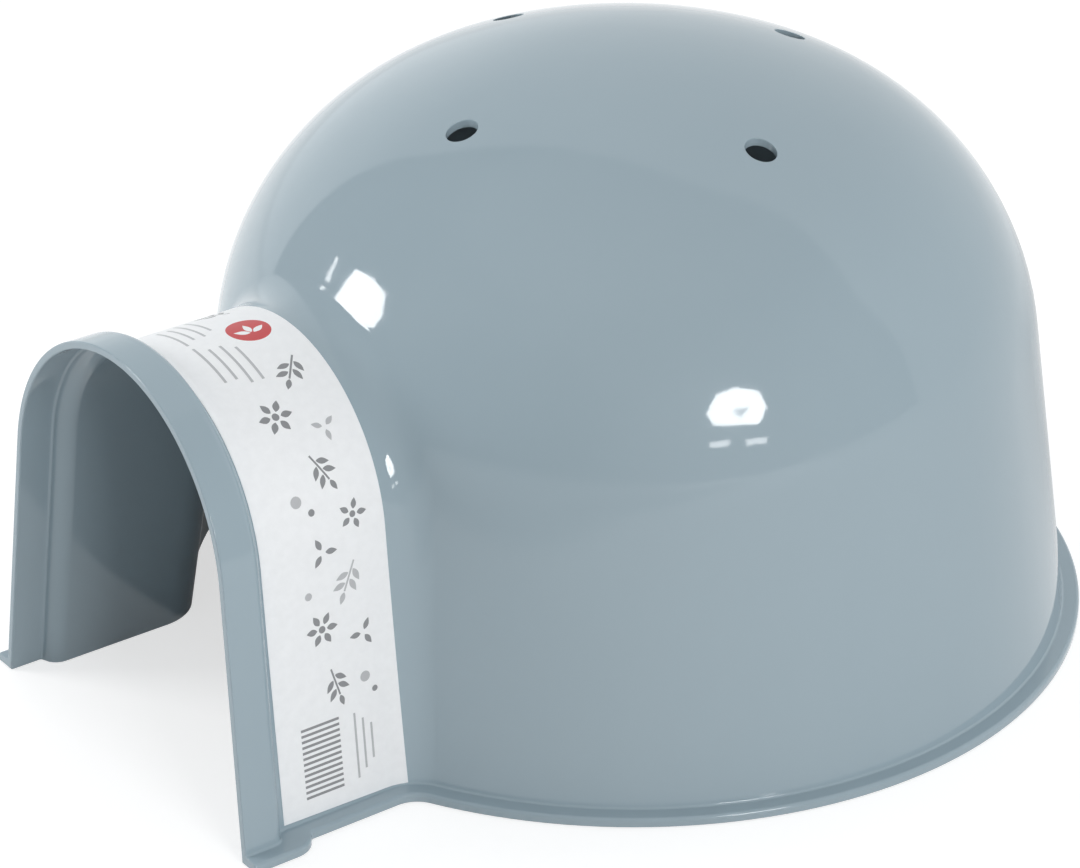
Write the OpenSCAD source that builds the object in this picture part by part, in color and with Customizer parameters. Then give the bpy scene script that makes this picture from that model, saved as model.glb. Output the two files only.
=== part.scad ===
// Rodent igloo: one plastic moulding with a domed chamber, a tunnel entrance that
// ends in a stepped collar, a rim flange round the foot and four vents in the cap,
// and a paper label wrapped over the tunnel.
// The tunnel faces -Y. The origin is on the floor, in the middle of the footprint.

/* [Dome] */
// Outer radius of the dome's wall at the floor
dome_r = 118; // [104:1:150]
// Height of the igloo
dome_h = 154.4; // [136:0.2:160]
// Height of the straight skirt under the cap
skirt_h = 80; // [66:1:96]
// Draft of the skirt, in degrees from upright
skirt_draft = 8.1; // [4:0.1:10]
// Where the cap's shoulder passes into its flatter top, in degrees of the normal over the horizontal
cap_angle = 65.8; // [60:0.1:75]

/* [Tunnel] */
// How far the mouth stands out in front of the dome's foot
tunnel_reach = 39.5; // [34:0.5:80]
// Outer width of the tunnel at the floor
tunnel_w = 105; // [86:1:118]
// Outer height of the tunnel
tunnel_h = 108.6; // [84:0.2:114]
// Draft of the tunnel's side walls, in degrees from upright
tunnel_draft = 7.4; // [3:0.1:10]
// Radius of the fillet between the tunnel and the dome
blend_r = 12; // [7:0.5:18]
// Draft of the mouth's face, in degrees from upright
mouth_draft = 1.7; // [0:0.1:4]

/* [Collar] */
// Depth of the collar behind the mouth's face
collar_len = 8.5; // [4:0.5:12]
// How far the collar stands out from the tunnel's wall
collar_step = 4.5; // [2:0.1:6]
// Length of the shoulder from the collar down to the tunnel's wall
shoulder_len = 5.4; // [5:0.1:12]

/* [Wall and rim] */
// Wall thickness of the moulding
wall = 2; // [1.2:0.1:2.4]
// Width of the rim flange outside the wall
rim_w = 4.2; // [2:0.1:5.5]
// Thickness of the rim flange
rim_t = 2.5; // [1.5:0.1:4]
// Rounding of the rim flange's upper edge
rim_round = 0.9; // [0.3:0.1:1.4]
// How far the rim flange runs straight past the start of the collar's shoulder
rim_lag = 3.9; // [0:0.1:6]

/* [Vents] */
// Number of vents in the cap
vent_count = 4; // [2:1:8]
// Diameter of a vent
vent_d = 8; // [4:0.5:12]
// Radius of the circle on which the vents lie
vent_circle_r = 52.3; // [36:0.1:62]

/* [Label] */
// Thickness of the paper label
label_t = 0.2; // [0.1:0.05:0.4]
// Width of the label along the tunnel
label_w = 35.7; // [20:0.1:36]
// Clearance between the collar's shoulder and the label's front edge
label_gap = 0.2; // [0:0.1:3]
// Height of the label's lower edges above the floor
label_foot = 3.6; // [3:0.1:20]
// Lean of the label's edges, in degrees from upright
label_lean = 0.9; // [0:0.1:2]

/* [Hidden] */

// Steps of the curves
round_fn = 144;
vent_fn = 48;
edge_fn = 32;
leg_steps = 5;
crown_steps = 18;
bend_steps = 4;
blend_steps = 6;
rim_steps = 6;
edge_steps = 4;

// Depth of the walls below the floor, which the floor's cut takes away
under = 4;
// How far a cutting body runs past the face that it cuts
over = 2;
// How deep a loft's last row bites into the dome or its rim, and how far it runs on there
bite = 0.35;
run_on = 1.05;
// How far the dome's rim runs on into the corners beside the tunnel, in degrees
rim_lap = 1;

// The dome's outline: a leaning skirt, a shoulder arc and a cap arc, each tangent to the next.
// The two arcs share out the width and the height over the skirt, which gives their radii.
cap_w = dome_r - skirt_h * tan(skirt_draft);
cap_h = dome_h - skirt_h;
shoulder_w = cos(skirt_draft) - cos(cap_angle);
shoulder_h = sin(cap_angle) - sin(skirt_draft);
top_w = cos(cap_angle);
top_h = 1 - sin(cap_angle);
share = top_w * shoulder_h - top_h * shoulder_w;
shoulder_r = (cap_h * top_w - cap_w * top_h) / share;
cap_r = (cap_w * shoulder_h - cap_h * shoulder_w) / share;
shoulder_x = cap_w - shoulder_r * cos(skirt_draft);
shoulder_z = skirt_h - shoulder_r * sin(skirt_draft);
cap_z = dome_h - cap_r;

// The tunnel's arch: two leaning legs tangent to a round crown
arch_w = tunnel_w / 2;
crown_r = (arch_w * cos(tunnel_draft) - tunnel_h * sin(tunnel_draft)) / (1 - sin(tunnel_draft));
crown_z = tunnel_h - crown_r;
leg_len = (crown_z + crown_r * sin(tunnel_draft)) / cos(tunnel_draft);

// The shoulder behind the collar: two equal bends that make an S
bend_r = (pow(shoulder_len, 2) + pow(collar_step, 2)) / (4 * collar_step);
bend_angle = 2 * atan(collar_step / shoulder_len);

// Places along Y from the dome's axis, and the axis in the part's frame
mouth_y = -(dome_r + tunnel_reach);
rim_bend_y = mouth_y + collar_len + rim_lag;
label_y = mouth_y + collar_len + shoulder_len + label_gap;
corner_x = arch_w + blend_r;
corner_y = -sqrt(pow(dome_r + blend_r, 2) - pow(corner_x, 2));
corner_angle = atan2(-corner_y, corner_x);
axis_y = (-mouth_y - dome_r - rim_w) / 2;

// Half of the arch from the foot to the crown, as [x, z, angle of the outward normal]
half_arch = concat(
    [for (i = [0:leg_steps - 1])
        let(t = -under + (leg_len + under) * i / leg_steps)
        [arch_w - t * sin(tunnel_draft), t * cos(tunnel_draft), tunnel_draft]],
    [for (i = [0:crown_steps])
        let(a = tunnel_draft + (90 - tunnel_draft) * i / crown_steps)
        [crown_r * cos(a), crown_z + crown_r * sin(a), a]]
);
arch = concat(
    half_arch,
    [for (i = [len(half_arch) - 2:-1:0])
        let(s = half_arch[i])
        [-s[0], s[1], 180 - s[2]]]
);

// The collar and its shoulder, as [distance behind the mouth, height over the wall, tilt of the normal]
collar_rows = concat(
    [for (i = [0:bend_steps])
        let(p = bend_angle * i / bend_steps)
        [collar_len + bend_r * sin(p), collar_step - bend_r * (1 - cos(p)), p]],
    [for (i = [bend_steps - 1:-1:0])
        let(p = bend_angle * i / bend_steps)
        [collar_len + shoulder_len - bend_r * sin(p), bend_r * (1 - cos(p)), p]]
);

// Radius of the dome's skin at height z, where the skin is grown outward by g
function dome_skin_r(z, g) =
    z < shoulder_z + (shoulder_r + g) * sin(skirt_draft)
        ? dome_r - z * tan(skirt_draft) + g / cos(skirt_draft)
    : z < shoulder_z + (shoulder_r + g) * sin(cap_angle)
        ? shoulder_x + sqrt(pow(shoulder_r + g, 2) - pow(z - shoulder_z, 2))
    : sqrt(pow(cap_r + g, 2) - pow(z - cap_z, 2));

// Angle of the same skin's normal above the horizontal
function dome_skin_angle(z, g) =
    z < shoulder_z + (shoulder_r + g) * sin(skirt_draft) ? skirt_draft
    : z < shoulder_z + (shoulder_r + g) * sin(cap_angle) ? asin((z - shoulder_z) / (shoulder_r + g))
    : asin((z - cap_z) / (cap_r + g));

// A point of the collar's skin at arch station s and row c
function collar_point(s, c, g) =
    let(
        rise = c[1] + g * cos(c[2]),
        z = s[1] + rise * sin(s[2])
    )
    [s[0] + rise * cos(s[2]), mouth_y + c[0] + g * sin(c[2]) + z * tan(mouth_draft), z];

// Centre of the ball that rolls along the tunnel and the dome and leaves the fillet
function ball_centre(s) =
    let(
        x = s[0] + blend_r * cos(s[2]),
        z = s[1] + blend_r * sin(s[2])
    )
    [x, -sqrt(pow(dome_skin_r(z, blend_r), 2) - pow(x, 2)), z];

// A point on an arc in the outline of the dome
function on_arc(centre, r, angle) = centre + r * heading(angle);

// Directions from the ball's centre to where it touches the tunnel and the dome
function to_tunnel(s) = [-cos(s[2]), 0, -sin(s[2])];
function to_dome(c) =
    let(
        a = dome_skin_angle(c[2], blend_r),
        r = norm([c[0], c[1]])
    )
    [-cos(a) * c[0] / r, -cos(a) * c[1] / r, -sin(a)];

// A point of the fillet's skin at arch station s, from 0 at the tunnel to 1 at the dome
function blend_point(s, t, g) =
    let(
        c = ball_centre(s),
        from = to_tunnel(s),
        to = to_dome(c),
        turn = acos(from * to)
    )
    c + (blend_r - g) * (sin((1 - t) * turn) * from + sin(t * turn) * to) / sin(turn);

// The rim flange's inner corner behind the collar, at offset o from the tunnel's wall
function rim_corner(o) =
    let(r = bend_r + o)
    [arch_w + o, rim_bend_y + sqrt(pow(r, 2) - pow(r - collar_step, 2))];

// The direction at an angle in the plan
function heading(a) = [cos(a), sin(a)];

// The end of the fillet's skin, sunk into the dome
function sunk_point(s, g) =
    let(
        c = ball_centre(s),
        from = to_tunnel(s),
        to = to_dome(c),
        turn = acos(from * to),
        onward = (to * cos(turn) - from) / sin(turn)
    )
    c + (blend_r - g + bite) * to + run_on * onward;

// The dome as a solid, grown outward by g, and run deeper where it is to cut
module dome(g) {
    low = g < 0 ? -under - over : -under;
    skirt_end = on_arc([shoulder_x, shoulder_z], shoulder_r + g, skirt_draft);
    shoulder_end = on_arc([shoulder_x, shoulder_z], shoulder_r + g, cap_angle);
    rotate_extrude($fn = round_fn) {
        intersection() {
            union() {
                polygon([
                    [0, low],
                    [dome_skin_r(low, g), low],
                    skirt_end,
                    shoulder_end,
                    [0, shoulder_end[1]]
                ]);
                sector([shoulder_x, shoulder_z], shoulder_r + g, skirt_draft, cap_angle);
                sector([0, cap_z], cap_r + g, cap_angle, 90);
            }
            translate([0, low]) square([2 * dome_r, 2 * dome_h]);
        }
    }
}

// The part of a disc between two directions less than 90 degrees apart
module sector(centre, r, from, to) {
    translate(centre) {
        intersection() {
            circle(r = r, $fn = 2 * round_fn);
            polygon([
                [0, 0],
                2 * r * heading(from),
                2 * r * heading(to)
            ]);
        }
    }
}

// The tunnel as a solid from in front of the mouth into the dome, grown outward by g
module passage(g) {
    lead = g < 0 ? 2 * over : over;
    rows = concat(
        [[for (s = arch) collar_point(s, [-lead, collar_step, 0], g)]],
        [for (c = collar_rows) [for (s = arch) collar_point(s, c, g)]],
        [for (i = [0:blend_steps - 1]) [for (s = arch) blend_point(s, i / blend_steps, g)]],
        [[for (s = arch) sunk_point(s, g)]]
    );
    loft(rows, [0, -dome_r / 2, tunnel_h / 3]);
}

// A solid through closed rings of points, with a flat first end and a last end drawn to a tip
module loft(rings, tip) {
    n = len(rings[0]);
    last = (len(rings) - 1) * n;
    sides = [
        for (k = [0:n:last - n])
            for (i = [0:n - 1])
                let(a = k + i, b = k + (i + 1) % n)
                each [[a, b, b + n], [a, b + n, a + n]]
    ];
    point = [for (i = [0:n - 1]) [last + n, last + i, last + (i + 1) % n]];
    polyhedron(
        points = concat([for (ring = rings) each ring], [tip]),
        faces = concat([[for (i = [n - 1:-1:0]) i]], sides, point)
    );
}

// The rim flange round the dome, with a side run along each side of the tunnel
module rim() {
    root = wall / 2;
    rotate([0, 0, -corner_angle - rim_lap])
        rotate_extrude(angle = 180 + 2 * (corner_angle + rim_lap), $fn = round_fn)
            translate([dome_r, -under]) {
                translate([-root, 0]) square([root + rim_w - rim_round, under + rim_t]);
                translate([-root, 0]) square([root + rim_w, under + rim_t - rim_round]);
                translate([rim_w - rim_round, under + rim_t - rim_round])
                    circle(r = rim_round, $fn = edge_fn);
            }
    rim_side();
    mirror([1, 0, 0]) rim_side();
}

// The rim flange from the mouth along the collar, the tunnel and the corner into the dome's rim
module rim_side() {
    root = wall / 2;
    collar_x = arch_w + collar_step;
    outer = rim_corner(rim_w);
    inner = rim_corner(rim_w - rim_round);
    slant = (outer - inner) / rim_round;
    turn = acos((bend_r + rim_w - collar_step) / (bend_r + rim_w));
    end = -corner_angle + run_on / dome_r * 180 / PI;
    // Each station is [point at the wall, step outward, point of the root, drop]
    stations = concat(
        [for (y = [mouth_y - over, rim_bend_y])
            [[collar_x, y], [1, 0], [arch_w - root, y], 0]],
        [for (k = [1:rim_steps - 1])
            let(
                d = heading(turn * k / rim_steps),
                y = rim_bend_y + (outer[1] - rim_bend_y) * k / rim_steps
            )
            [[collar_x - bend_r, rim_bend_y] + bend_r * d, d, [arch_w - root, y], 0]],
        [
            [outer - rim_w * slant, slant, [arch_w - root, outer[1]], 0],
            [[arch_w, corner_y], [1, 0], [arch_w - root, corner_y], 0]
        ],
        [for (k = [1:rim_steps - 1])
            let(
                d = -heading(180 - corner_angle * k / rim_steps),
                c = [corner_x, corner_y]
            )
            [c - blend_r * d, d, c - (blend_r + root) * d, 0]],
        [[(dome_r - bite) * heading(end), heading(end), (dome_r - root) * heading(end), bite]]
    );
    rings = [
        for (s = stations)
            let(edge = s[0] + rim_w * s[1], low = -under, high = rim_t - s[3])
            concat(
                [[s[2][0], s[2][1], low], [edge[0], edge[1], low]],
                [for (i = [0:edge_steps])
                    let(
                        a = 90 * i / edge_steps,
                        p = edge - rim_round * (1 - cos(a)) * s[1]
                    )
                    [p[0], p[1], high - rim_round * (1 - sin(a))]],
                [[s[2][0], s[2][1], high]]
            )
    ];
    tip = (dome_r - root) * heading(end + rim_lap);
    loft(rings, [tip[0], tip[1], -under / 2]);
}

// The vents, evenly spaced on their circle, the first over the tunnel
module vents() {
    for (i = [0:vent_count - 1])
        rotate([0, 0, -90 + 360 * i / vent_count])
            translate([vent_circle_r, 0, dome_h / 2])
                cylinder(d = vent_d, h = dome_h, $fn = vent_fn);
}

// Everything below the floor
module below_floor() {
    reach = 2 * (dome_r + tunnel_reach);
    translate([-reach, -reach, -2 * under]) cube([2 * reach, 2 * reach, 2 * under]);
}

// Everything in front of the mouth's leaning face
module before_mouth() {
    translate([-tunnel_w, mouth_y, 0])
        rotate([-mouth_draft, 0, 0])
            translate([0, -4 * over, -2 * under])
                cube([2 * tunnel_w, 4 * over, 2 * tunnel_h]);
}

// The moulding: dome, tunnel, collar, rim flange and vents in one piece
module igloo_shell() {
    color("lightslategray")
        translate([0, axis_y, 0])
            difference() {
                union() {
                    dome(0);
                    passage(0);
                    rim();
                }
                dome(-wall);
                passage(-wall);
                vents();
                below_floor();
                before_mouth();
            }
}

// The paper label, which lies on the tunnel from one foot over the crown to the other
module tunnel_label() {
    color("whitesmoke")
        translate([0, axis_y, 0])
            intersection() {
                difference() {
                    passage(label_t);
                    passage(0);
                }
                translate([-tunnel_w, label_y, 0])
                    rotate([-label_lean, 0, 0])
                        translate([0, 0, label_foot])
                            cube([2 * tunnel_w, label_w, 2 * tunnel_h]);
            }
}

igloo_shell();
tunnel_label();
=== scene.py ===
"""Looks of the rodent igloo: a glossy plastic moulding and the printed paper label on its tunnel.

All sizes are in millimetres from the dome's axis, as in part.scad, until a mesh is made.
"""

import math

import bpy
import numpy as np
from mathutils import Matrix, Vector
from mathutils.geometry import delaunay_2d_cdt


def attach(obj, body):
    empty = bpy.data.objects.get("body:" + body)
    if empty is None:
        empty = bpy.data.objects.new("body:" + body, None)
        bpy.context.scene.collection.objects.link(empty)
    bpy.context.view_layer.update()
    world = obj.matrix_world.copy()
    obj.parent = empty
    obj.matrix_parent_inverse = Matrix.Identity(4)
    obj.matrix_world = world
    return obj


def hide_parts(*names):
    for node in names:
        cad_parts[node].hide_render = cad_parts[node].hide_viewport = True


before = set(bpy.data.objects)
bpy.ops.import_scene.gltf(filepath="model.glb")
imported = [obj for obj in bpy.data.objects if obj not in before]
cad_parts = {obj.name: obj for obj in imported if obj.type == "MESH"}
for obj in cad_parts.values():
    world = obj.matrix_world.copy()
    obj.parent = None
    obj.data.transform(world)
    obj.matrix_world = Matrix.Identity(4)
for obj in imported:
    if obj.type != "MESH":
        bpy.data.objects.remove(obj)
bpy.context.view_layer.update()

# Sizes, the same as in part.scad

DOME_R, DOME_H, SKIRT_H = 118.0, 154.4, 80.0
SKIRT_DRAFT = math.radians(8.1)
CAP_ANGLE = math.radians(65.8)
TUNNEL_REACH, TUNNEL_W, TUNNEL_H = 39.5, 105.0, 108.6
TUNNEL_DRAFT = math.radians(7.4)
BLEND_R = 12.0
MOUTH_TAN = math.tan(math.radians(1.7))
COLLAR_LEN, COLLAR_STEP, SHOULDER_LEN = 8.5, 4.5, 5.4
WALL = 2.0
RIM_W, RIM_T, RIM_ROUND, RIM_LAG = 4.2, 2.5, 0.9, 3.9   # its bend lags behind the collar's
VENT_COUNT, VENT_R, VENT_CIRCLE_R = 4, 4.0, 52.3
LABEL_T, LABEL_W, LABEL_GAP, LABEL_FOOT = 0.2, 35.7, 0.2, 3.6
LABEL_TAN = math.tan(math.radians(0.9))

# Finer forms that the solids leave out
RIM_FILLET_TOP = 3.1   # height at which the rim's fillet meets the wall
RIM_NOTCH_R = 0.7      # rounding of the inner corner where the rim leaves the collar
EDGE_R = 0.4           # rounding of the mouth's edges
VENT_EDGE = 0.2        # rounding of the vents' edges
FOOT_EDGE = 0.35       # rounding of the rim's lower edge

MM = 0.001             # metres per millimetre
QUARTER = math.pi / 2

# The dome's outline: skirt, shoulder arc and cap arc, tangent to each other
CAP_W, CAP_H = DOME_R - SKIRT_H * math.tan(SKIRT_DRAFT), DOME_H - SKIRT_H
SHOULDER_R, CAP_R = np.linalg.solve(
    [[math.cos(SKIRT_DRAFT) - math.cos(CAP_ANGLE), math.cos(CAP_ANGLE)],
     [math.sin(CAP_ANGLE) - math.sin(SKIRT_DRAFT), 1 - math.sin(CAP_ANGLE)]], [CAP_W, CAP_H])
SHOULDER_X = CAP_W - SHOULDER_R * math.cos(SKIRT_DRAFT)
SHOULDER_Z = SKIRT_H - SHOULDER_R * math.sin(SKIRT_DRAFT)
CAP_Z = DOME_H - CAP_R

# The tunnel's arch: drafted legs and a round crown
ARCH_W = TUNNEL_W / 2
CROWN_R = ((ARCH_W * math.cos(TUNNEL_DRAFT) - TUNNEL_H * math.sin(TUNNEL_DRAFT))
           / (1 - math.sin(TUNNEL_DRAFT)))
CROWN_Z = TUNNEL_H - CROWN_R
LEG_LEN = (CROWN_Z + CROWN_R * math.sin(TUNNEL_DRAFT)) / math.cos(TUNNEL_DRAFT)
HALF_ARCH = LEG_LEN + CROWN_R * (QUARTER - TUNNEL_DRAFT)

# The collar's shoulder, and the plan's corner between tunnel and dome
BEND_R = (SHOULDER_LEN ** 2 + COLLAR_STEP ** 2) / (4 * COLLAR_STEP)
COLLAR_END = COLLAR_LEN + SHOULDER_LEN
MOUTH_Y = -(DOME_R + TUNNEL_REACH)
CORNER_X = ARCH_W + BLEND_R
CORNER_Y = -math.sqrt((DOME_R + BLEND_R) ** 2 - CORNER_X ** 2)
CORNER_ANGLE = math.atan2(-CORNER_Y, CORNER_X)

AXIS_Y = (-MOUTH_Y - DOME_R - RIM_W) / 2   # the dome's axis in the frame, which is centred
LABEL_Y = MOUTH_Y + COLLAR_END + LABEL_GAP


# The skins: points and outward normals of the wall, grown outward by g

def unit(v):
    v = np.asarray(v, float)
    return v / np.linalg.norm(v)


def dome_skin(z, g):
    """Radius of the dome's skin at height z, and the angle of its normal over the horizontal."""
    if z < SHOULDER_Z + (SHOULDER_R + g) * math.sin(SKIRT_DRAFT):
        return DOME_R - z * math.tan(SKIRT_DRAFT) + g / math.cos(SKIRT_DRAFT), SKIRT_DRAFT
    if z < SHOULDER_Z + (SHOULDER_R + g) * math.sin(CAP_ANGLE):
        r = math.sqrt((SHOULDER_R + g) ** 2 - (z - SHOULDER_Z) ** 2)
        return SHOULDER_X + r, math.asin((z - SHOULDER_Z) / (SHOULDER_R + g))
    r = math.sqrt(max(0.0, (CAP_R + g) ** 2 - (z - CAP_Z) ** 2))
    return r, math.asin(min(1.0, (z - CAP_Z) / (CAP_R + g)))


def dome_way(z, g):
    """Distance along the dome's skin from its top down to height z."""
    angle = dome_skin(z, g)[1]
    way = (CAP_R + g) * (QUARTER - max(angle, CAP_ANGLE))
    if angle < CAP_ANGLE:
        way += (SHOULDER_R + g) * (CAP_ANGLE - max(angle, SKIRT_DRAFT))
    low = SHOULDER_Z + (SHOULDER_R + g) * math.sin(SKIRT_DRAFT)
    return way + max(0.0, low - z) / math.cos(SKIRT_DRAFT)


def dome_at(way, g):
    """(radius, height, angle of the normal) at a distance along the dome's skin from its top."""
    cap = (CAP_R + g) * (QUARTER - CAP_ANGLE)
    shoulder = (SHOULDER_R + g) * (CAP_ANGLE - SKIRT_DRAFT)
    if way < cap:
        a = QUARTER - way / (CAP_R + g)
        return (CAP_R + g) * math.cos(a), CAP_Z + (CAP_R + g) * math.sin(a), a
    if way < cap + shoulder:
        a = CAP_ANGLE - (way - cap) / (SHOULDER_R + g)
        return (SHOULDER_X + (SHOULDER_R + g) * math.cos(a),
                SHOULDER_Z + (SHOULDER_R + g) * math.sin(a), a)
    down = way - cap - shoulder
    a = SKIRT_DRAFT
    return (SHOULDER_X + (SHOULDER_R + g) * math.cos(a) + down * math.sin(a),
            SHOULDER_Z + (SHOULDER_R + g) * math.sin(a) - down * math.cos(a), a)


def dome_top(x, y, g):
    """Height of the dome's skin over a point of the cap, and its normal there."""
    r = math.hypot(x, y)
    a = math.acos(r / (CAP_R + g))
    z = CAP_Z + (CAP_R + g) * math.sin(a)
    if a < CAP_ANGLE:
        a = math.acos((r - SHOULDER_X) / (SHOULDER_R + g))
        z = SHOULDER_Z + (SHOULDER_R + g) * math.sin(a)
    return z, np.array([x / r * math.cos(a), y / r * math.cos(a), math.sin(a)])


def arch_at(s):
    """(x, z, angle of the normal) at distance s along the arch, from its right foot up."""
    if s < LEG_LEN:
        return ARCH_W - s * math.sin(TUNNEL_DRAFT), s * math.cos(TUNNEL_DRAFT), TUNNEL_DRAFT
    a = TUNNEL_DRAFT + (s - LEG_LEN) / CROWN_R
    return CROWN_R * math.cos(a), CROWN_Z + CROWN_R * math.sin(a), a


def collar_at(c):
    """(height over the tunnel's wall, tilt of the normal) at distance c behind the mouth."""
    if c <= COLLAR_LEN:
        return COLLAR_STEP, 0.0
    if c >= COLLAR_END:
        return 0.0, 0.0
    if c < COLLAR_LEN + SHOULDER_LEN / 2:
        tilt = math.asin((c - COLLAR_LEN) / BEND_R)
        return COLLAR_STEP - BEND_R * (1 - math.cos(tilt)), tilt
    tilt = math.asin((COLLAR_END - c) / BEND_R)
    return BEND_R * (1 - math.cos(tilt)), tilt


def collar_skin(s, c, g):
    """Point and normal of the skin at distance s along the arch and c behind the mouth."""
    x, z, a = arch_at(s)
    height, tilt = collar_at(c)
    rise = height + g * math.cos(tilt)
    z += rise * math.sin(a)
    point = np.array([x + rise * math.cos(a), MOUTH_Y + c + g * math.sin(tilt) + z * MOUTH_TAN, z])
    slope = -math.tan(tilt)
    along = np.array([slope * math.cos(a), 1 + slope * math.sin(a) * MOUTH_TAN,
                      slope * math.sin(a)])
    around = np.array([-math.sin(a), math.cos(a) * MOUTH_TAN, math.cos(a)])
    if tilt == 0:
        return point, np.array([math.cos(a), 0.0, math.sin(a)])
    return point, unit(np.cross(along, around))


def ball(s):
    """Centre of the ball that leaves the fillet, and its ways to the tunnel and to the dome."""
    x, z, a = arch_at(s)
    x, z = x + BLEND_R * math.cos(a), z + BLEND_R * math.sin(a)
    r, up = dome_skin(z, BLEND_R)
    y = -math.sqrt(r * r - x * x)
    return (np.array([x, y, z]), np.array([-math.cos(a), 0.0, -math.sin(a)]),
            np.array([-math.cos(up) * x / r, -math.cos(up) * y / r, -math.sin(up)]))


def between(start, end, t):
    """The direction at share t of the turn from one direction to another."""
    turn = math.acos(float(start @ end))
    return (math.sin((1 - t) * turn) * start + math.sin(t * turn) * end) / math.sin(turn)


def blend_skin(s, t, g):
    """Point and normal of the skin over the fillet, from the tunnel at t = 0 to the dome at 1."""
    centre, start, end = ball(s)
    way = between(start, end, t)
    return centre + (BLEND_R - g) * way, -way


def skin(s, w, g):
    """The passage's skin: w is 0 to 1 over the collar, to 2 on the tunnel, to 3 on the fillet."""
    if w <= 1:
        return collar_skin(s, w * COLLAR_END, g)
    if w >= 2:
        return blend_skin(s, w - 2, g)
    start, normal = collar_skin(s, COLLAR_END, g)
    end, _ = blend_skin(s, 0, g)
    return start + (end - start) * (w - 1), normal


def solve(function, target, low, high, steps=40):
    """The place between low and high where a rising function reaches the target."""
    for _ in range(steps):
        middle = (low + high) / 2
        if function(middle) < target:
            low = middle
        else:
            high = middle
    return (low + high) / 2


def foot_of(w, g, z):
    """Distance along the arch at which the skin's row w crosses height z."""
    return solve(lambda s: skin(s, w, g)[0][2], z, -20.0, 40.0)


# Mesh building

WHOLE_HULL, LOOPS_ONLY = 0, 1   # what delaunay_2d_cdt gives back


def placed(name, data):
    """A new object in the scene."""
    obj = bpy.data.objects.new(name, data)
    bpy.context.scene.collection.objects.link(obj)
    return obj


class Mesh:
    """Points with normals, and faces whose corners take these or one normal of their own."""

    def __init__(self):
        self.points, self.normals, self.faces, self.own, self.slots = [], [], [], [], []

    def add(self, point, normal):
        self.points.append(np.asarray(point, float))
        self.normals.append(np.asarray(normal, float))
        return len(self.points) - 1

    def row(self, pairs):
        return [self.add(p, n) for p, n in pairs]

    def face(self, corners, own=None, slot=0):
        """A face that is turned the way of its own normal, or of its corners' normals."""
        ring = [self.points[i] for i in corners]
        area = sum(np.cross(ring[k] - ring[0], ring[k + 1] - ring[0])
                   for k in range(1, len(ring) - 1))
        facing = own if own is not None else sum(self.normals[i] for i in corners)
        if float(area @ facing) < 0:
            corners = corners[::-1]
        self.faces.append(list(corners))
        self.own.append(own)
        self.slots.append(slot)

    def strip(self, a, b, closed=False, own=None):
        """Faces between two rows of points."""
        n = len(a)
        for i in range(n if closed else n - 1):
            j = (i + 1) % n
            self.face([a[i], a[j], b[j], b[i]], own)

    def build(self, name, materials):
        """The object, in metres in the part's frame."""
        data = bpy.data.meshes.new(name)
        shift = np.array([0.0, AXIS_Y, 0.0])
        data.from_pydata([tuple((p + shift) * MM) for p in self.points], [], self.faces)
        data.polygons.foreach_set("use_smooth", [True] * len(self.faces))
        data.polygons.foreach_set("material_index", self.slots)
        loops = []
        for corners, own in zip(self.faces, self.own):
            loops += [tuple(own if own is not None else self.normals[i]) for i in corners]
        data.normals_split_custom_set(loops)
        for material in materials:
            data.materials.append(material)
        return placed(name, data)


def inside(ring, points):
    """Which of the points lie inside a closed ring of 2D points."""
    x, y = points[:, 0], points[:, 1]
    hit = np.zeros(len(points), bool)
    for (x0, y0), (x1, y1) in zip(ring, np.roll(ring, -1, axis=0)):
        if y0 != y1:
            crosses = (y0 > y) != (y1 > y)
            hit ^= crosses & (x < (x1 - x0) * (y - y0) / (y1 - y0) + x0)
    return hit


def near(ring, points, gap):
    """Which of the points lie closer than gap to a closed ring of 2D points."""
    close = np.zeros(len(points), bool)
    for a, b in zip(ring, np.roll(ring, -1, axis=0)):
        d = b - a
        t = np.clip(((points - a) @ d) / max(float(d @ d), 1e-12), 0, 1)
        close |= np.linalg.norm(points - a - t[:, None] * d, axis=1) < gap
    return close


def divided(loops, inner, output, gap):
    """Delaunay division along closed loops and through inner points: vertices, faces and the
    given points that each vertex comes from."""
    edges, first = [], 0
    for loop in loops:
        n = len(loop)
        edges += [(first + i, first + (i + 1) % n) for i in range(n)]
        first += n
    flat = [Vector((float(x), float(y))) for points in (*loops, inner) for x, y in points]
    verts, _, faces, origin, _, _ = delaunay_2d_cdt(flat, edges, [], output, gap, True)
    return np.array([tuple(v) for v in verts]), faces, origin


def middles(points, faces):
    """The middle of each face."""
    return np.array([points[list(f)].mean(axis=0) for f in faces])


def triangles(ring, holes, inner):
    """Triangles of the area in a ring, less its holes, as indices into ring + holes + inner."""
    verts, faces, origin = divided([ring, *holes], inner, WHOLE_HULL, 1e-6)
    centres = middles(verts, faces)
    keep = inside(ring, centres)
    for hole in holes:
        keep &= ~inside(hole, centres)
    return [[origin[i][0] for i in f] for f, k in zip(faces, keep) if k]


# The shell

LEG_STATIONS, CROWN_STATIONS, ARC_STATIONS, VENT_STATIONS = 22, 34, 150, 44
SHOULDER_ROWS, TUNNEL_ROWS, BLEND_ROWS = 12, 6, 12
FILLET_STEPS, RIM_STEPS, EDGE_STEPS = 6, 5, 3   # over the rim's fillet, its round, small edges
DOWN = np.array([0.0, 0.0, -1.0])
DOME_GRID, RING_MARGIN, VENT_MARGIN = 4.2, 2.0, 1.2   # spacing of the points on the dome


def shares(count):
    """Shares of a whole in equal steps, up to 1."""
    return [k / count for k in range(1, count + 1)]


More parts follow.
